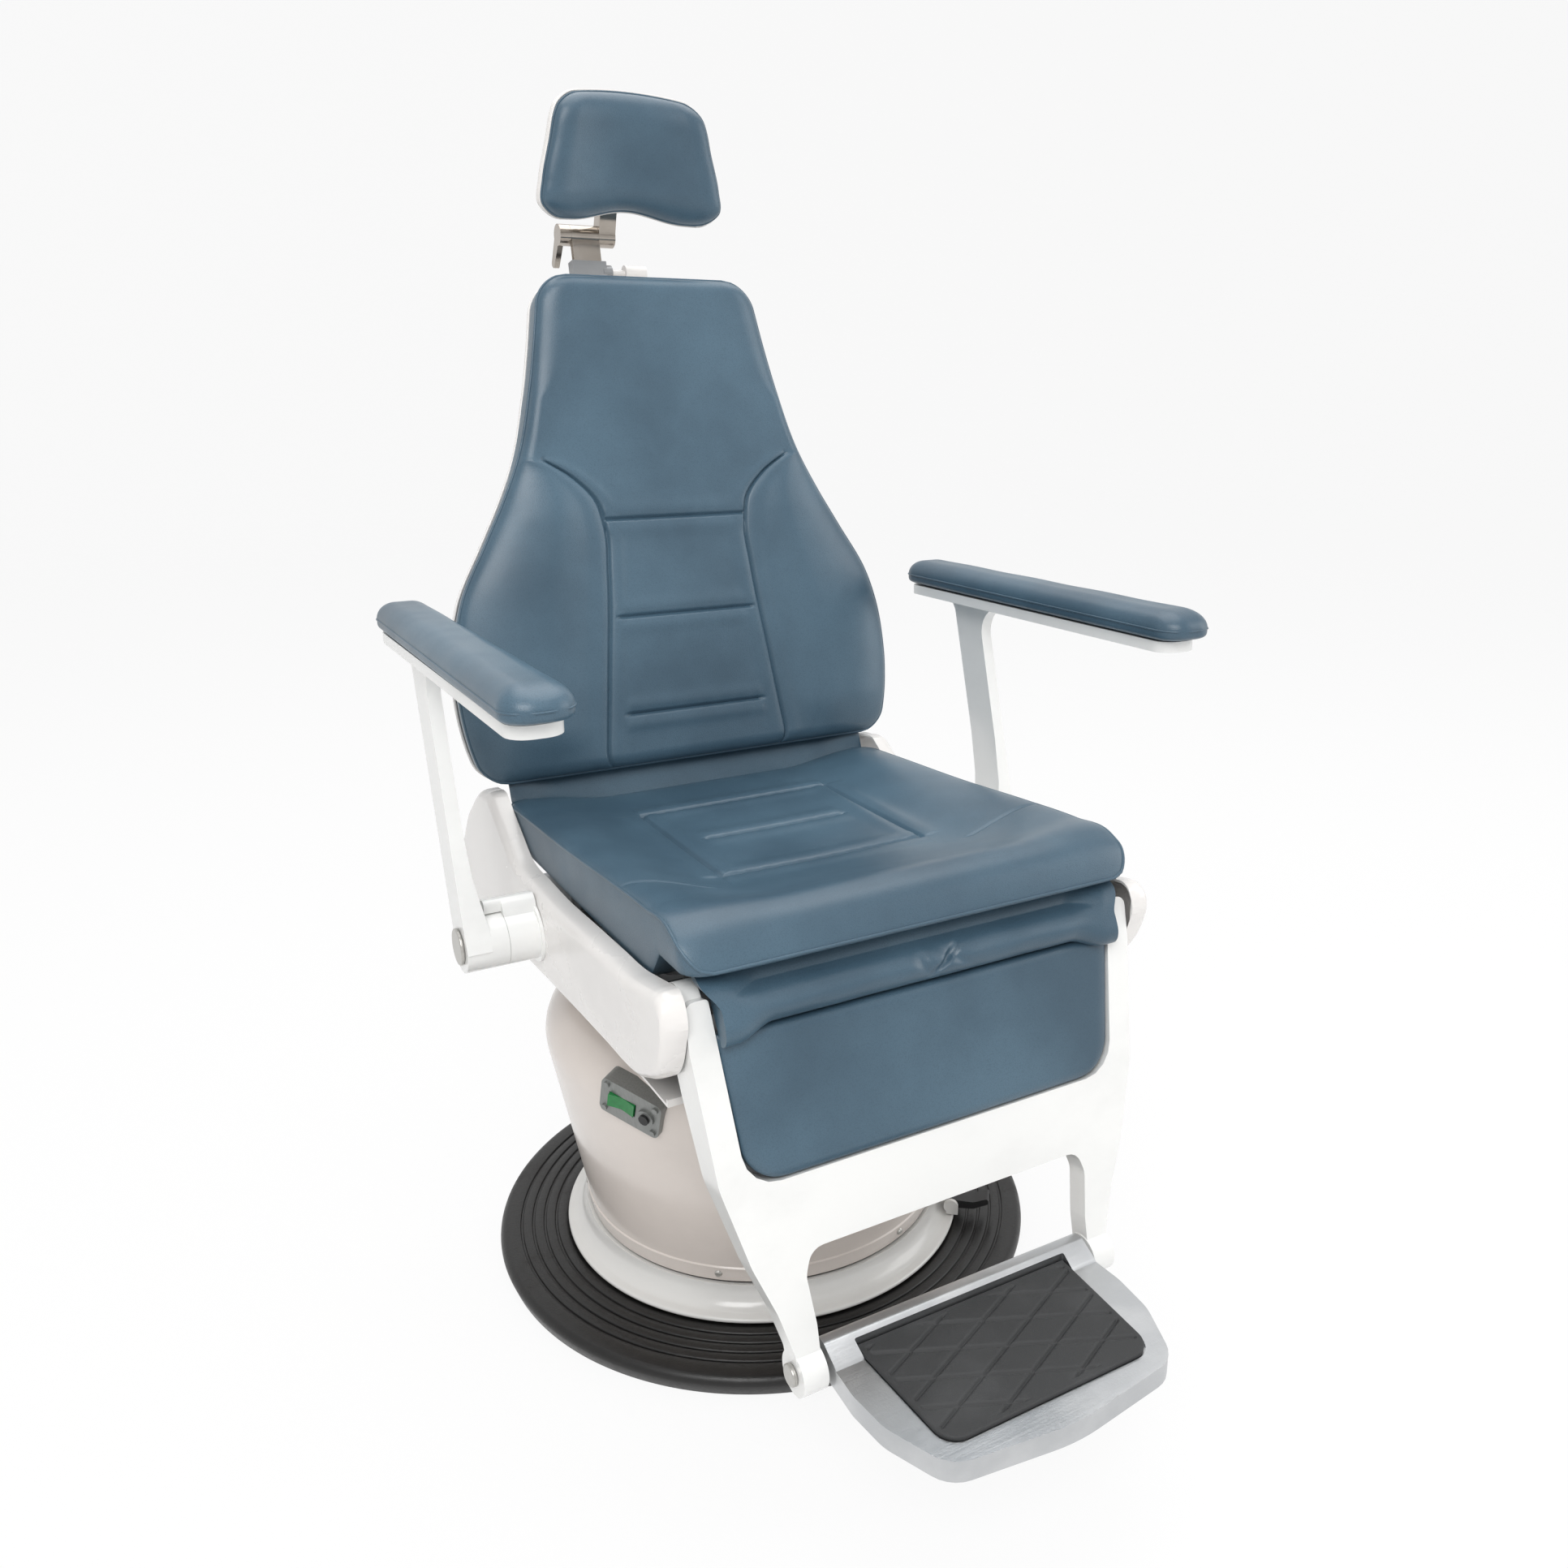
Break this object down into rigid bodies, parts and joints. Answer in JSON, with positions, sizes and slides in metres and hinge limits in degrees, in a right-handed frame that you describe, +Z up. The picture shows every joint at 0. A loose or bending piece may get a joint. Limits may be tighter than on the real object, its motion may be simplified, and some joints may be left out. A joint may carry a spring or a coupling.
{
  "type": "patient examination chair",
  "caption": "Patient chair on a round swivel lift base, with reclining back, linked leg rest, folding footplate, swing armrests and jointed headrest.",
  "frame": {"origin": "centre of the round foot on the floor", "axes": "+Z up, the sitter faces -Y, the sitter's right hand is at -X"},
  "size_m": [0.7534, 1.0455, 1.3535],
  "materials": {
    "white_paint": "gloss",
    "white_cover": "gloss",
    "blue_vinyl": "satin",
    "black_rubber": "matt",
    "grey_mat": "matt",
    "cast_alloy": "satin",
    "chrome": "polished",
    "steel": "satin",
    "zinc": "satin",
    "black_plastic": "matt",
    "green_plastic": "gloss",
    "white_casting": "gloss"
  },
  "bodies": {
    "base": {"base_rubber_ring": "black_rubber", "base_casting": "white_paint", "lower_bearing_race": "steel", "pedal_bracket": "white_paint"},
    "pedal": {"swivel_lock_pedal": "black_plastic"},
    "turntable": {"upper_bearing_race": "steel", "turntable_plate": "steel", "lift_guide_tube": "steel", "hydraulic_cylinder": "steel", "pump_unit": "black_plastic", "column_cover": "white_paint", "cover_screws": "zinc", "switch_plate": "steel", "mains_inlet": "black_plastic"},
    "rocker": {"power_rocker": "green_plastic"},
    "button": {"breaker_button": "black_plastic"},
    "lift": {"lift_inner_tube": "steel", "piston_rod": "chrome", "lift_sleeve": "white_paint", "seat_frame": "steel", "hinge_pins": "zinc", "seat_pan": "steel", "seat_cushion": "blue_vinyl", "side_cover_right": "white_cover", "side_cover_left": "white_cover", "seat_under_cover": "white_cover", "arm_boss_right": "white_paint", "arm_boss_left": "white_paint", "arm_pivot_pins": "zinc", "recline_actuator": "black_plastic", "hip_gusset": "blue_vinyl", "knee_apron": "blue_vinyl"},
    "drive_rod": {"actuator_rod": "chrome"},
    "sync_bar": {"sync_link": "steel"},
    "back": {"back_frame": "steel", "back_shell": "white_cover", "shell_screws": "zinc", "back_cushion": "blue_vinyl", "headrest_guide": "steel"},
    "knob": {"height_knob": "white_cover"},
    "mast": {"headrest_mast": "chrome"},
    "neck": {"headrest_arm": "chrome"},
    "lever": {"headrest_lever": "chrome"},
    "head": {"headrest_bracket": "chrome", "headrest_shell": "white_cover", "headrest_cushion": "blue_vinyl"},
    "arm_right": {"armrest_right": "white_casting", "arm_pad_right": "blue_vinyl"},
    "arm_left": {"armrest_left": "white_casting", "arm_pad_left": "blue_vinyl"},
    "leg": {"leg_frame": "white_casting", "leg_torque_tube": "steel", "leg_pan": "steel", "leg_cushion": "blue_vinyl", "footplate_bolts": "zinc"},
    "step": {"footplate": "cast_alloy", "footplate_mat": "grey_mat"}
  },
  "joints": [
    {"name": "chair_turn", "type": "hinge", "parent": "base", "child": "turntable", "pos_m": [0, 0, 0.0437], "axis": [0, 0, 1], "range_deg": [-170, 170]},
    {"name": "pedal_press", "type": "hinge", "parent": "base", "child": "pedal", "pos_m": [0.18615, -0.1562, 0.043], "axis": [0.6428, 0.766, 0], "range_deg": [0, 8], "stiffness_Nm_per_rad": 1.5, "springref_deg": -5.73},
    {"name": "rocker_tip", "type": "hinge", "parent": "turntable", "child": "rocker", "pos_m": [-0.22548, -0.12956, 0.29323], "axis": [0.0058, -0.3214, 0.9469], "range_deg": [0, 6]},
    {"name": "button_press", "type": "slide", "parent": "turntable", "child": "button", "axis": [0.8354, 0.522, 0.1721], "range_m": [0, 0.002], "stiffness_N_per_m": 300, "springref_m": -0.002},
    {"name": "seat_lift", "type": "slide", "parent": "turntable", "child": "lift", "axis": [0, 0, 1], "range_m": [0, 0.2]},
    {"name": "back_recline", "type": "hinge", "parent": "lift", "child": "back", "pos_m": [0, 0.215, 0.5], "axis": [-1, 0, 0], "range_deg": [0, 77], "deforming": ["hip_gusset"]},
    {"name": "legrest_raise", "type": "hinge", "parent": "lift", "child": "leg", "pos_m": [0, -0.33, 0.5], "axis": [-1, 0, 0], "range_deg": [0, 77], "deforming": ["knee_apron"]},
    {"name": "bar_pivot", "type": "hinge", "parent": "back", "child": "sync_bar", "pos_m": [0, 0.25235, 0.45304], "axis": [-1, 0, 0], "range_deg": [-77, 0]},
    {"name": "drive_slide", "type": "slide", "parent": "lift", "child": "drive_rod", "axis": [0, -1, 0], "range_m": [0, 0.0748]},
    {"name": "footplate_fold", "type": "hinge", "parent": "leg", "child": "step", "pos_m": [0, -0.428, 0.151], "axis": [-1, 0, 0], "range_deg": [0, 80]},
    {"name": "arm_right_swing", "type": "hinge", "parent": "lift", "child": "arm_right", "pos_m": [-0.33, -0.015, 0.457], "axis": [-1, 0, 0], "range_deg": [0, 85]},
    {"name": "arm_left_swing", "type": "hinge", "parent": "lift", "child": "arm_left", "pos_m": [0.33, -0.015, 0.457], "axis": [-1, 0, 0], "range_deg": [0, 85]},
    {"name": "headrest_height", "type": "slide", "parent": "back", "child": "mast", "axis": [0, 0.1874, 0.9823], "range_m": [0, 0.12]},
    {"name": "height_knob_turn", "type": "hinge", "parent": "back", "child": "knob", "pos_m": [0.03, 0.38948, 1.15751], "axis": [1, 0, 0], "range_deg": [0, 300]},
    {"name": "neck_tilt", "type": "hinge", "parent": "mast", "child": "neck", "pos_m": [-0.0007, 0.40596, 1.20119], "axis": [-1, 0, 0], "range_deg": [-20, 30]},
    {"name": "neck_lock", "type": "hinge", "parent": "mast", "child": "lever", "pos_m": [-0.055, 0.40596, 1.20119], "axis": [-1, 0, 0], "range_deg": [-40, 40]},
    {"name": "head_tilt", "type": "hinge", "parent": "neck", "child": "head", "pos_m": [-0.0007, 0.36396, 1.26219], "axis": [-1, 0, 0], "range_deg": [-15, 15]}
  ],
  "couplings": [
    {"joint": "legrest_raise", "follows": "back_recline", "ratio": 1},
    {"joint": "bar_pivot", "follows": "back_recline", "ratio": -1},
    {"joint": "drive_slide", "follows": "back_recline", "m_per_rad": 0.0556}
  ]
}
